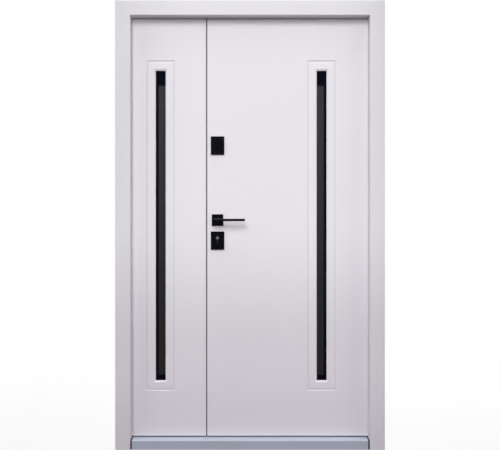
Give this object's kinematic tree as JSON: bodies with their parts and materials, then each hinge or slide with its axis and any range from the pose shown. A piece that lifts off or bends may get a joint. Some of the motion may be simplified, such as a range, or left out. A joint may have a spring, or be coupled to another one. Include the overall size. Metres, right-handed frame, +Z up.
{
  "type": "one and a half leaf entrance door",
  "caption": "White entrance door with a wide and a narrow leaf in a frame, slim dark glass strips in routed surrounds, a black square lever set and a metal threshold.",
  "frame": {"origin": "middle of the underside of the sill", "axes": "+X to the right seen from outside, +Y towards the inside of the building, +Z up"},
  "size_m": [1.23, 0.18, 2.05],
  "materials": {
    "frame_white": "satin white paint",
    "panel_white": "satin white paint",
    "leaf_edge_white": "satin white paint",
    "threshold_metal": "brushed lengthways",
    "sill_black": "matt",
    "seal_rubber": "matt",
    "hinge_metal": "satin",
    "glass_dark": "dark tinted, polished",
    "spacer_black": "matt",
    "lock_steel": "brushed",
    "cylinder_nickel": "satin nickel",
    "hardware_black": "satin black"
  },
  "bodies": {
    "frame": {"left_jamb": "frame_white", "right_jamb": "frame_white", "frame_head": "frame_white", "frame_sill": "sill_black", "threshold_plate": "threshold_metal", "left_stop_seal": "seal_rubber", "right_stop_seal": "seal_rubber", "head_stop_seal": "seal_rubber", "left_frame_hinges": "hinge_metal", "right_frame_hinges": "hinge_metal", "left_hinge_pins": "hinge_metal", "right_hinge_pins": "hinge_metal"},
    "active_leaf": {"active_core": "leaf_edge_white", "active_outer_panel": "panel_white", "active_inner_panel": "panel_white", "active_glass_panes": "glass_dark", "active_glass_spacer": "spacer_black", "right_leaf_hinges": "hinge_metal", "lock_forend": "lock_steel", "lock_bolts": "lock_steel", "lock_cylinder": "cylinder_nickel", "outer_upper_lock_plate": "hardware_black", "outer_lower_lock_plate": "hardware_black", "outer_lever_rose": "hardware_black", "inner_upper_lock_plate": "hardware_black", "inner_lower_lock_plate": "hardware_black", "inner_lever_rose": "hardware_black"},
    "passive_leaf": {"passive_core": "leaf_edge_white", "passive_outer_panel": "panel_white", "passive_inner_panel": "panel_white", "passive_glass_panes": "glass_dark", "passive_glass_spacer": "spacer_black", "left_leaf_hinges": "hinge_metal", "strike_plate": "lock_steel", "passive_flush_bolts": "lock_steel"},
    "lever_handle": {"outer_lever": "hardware_black", "inner_lever": "hardware_black", "lever_spindle": "lock_steel"}
  },
  "joints": [
    {"name": "active_leaf_hinge", "type": "hinge", "parent": "frame", "child": "active_leaf", "pos_m": [0.5665, 0.063, 1.025], "axis": [0, 0, -1], "range_deg": [0, 110]},
    {"name": "passive_leaf_hinge", "type": "hinge", "parent": "frame", "child": "passive_leaf", "pos_m": [-0.5665, 0.063, 1.025], "axis": [0, 0, 1], "range_deg": [0, 110]},
    {"name": "lever_turn", "type": "hinge", "parent": "active_leaf", "child": "lever_handle", "pos_m": [-0.15, 0.025, 1.048], "axis": [0, 1, 0], "range_deg": [0, 35], "stiffness_Nm_per_rad": 2, "springref_deg": -34.38}
  ]
}
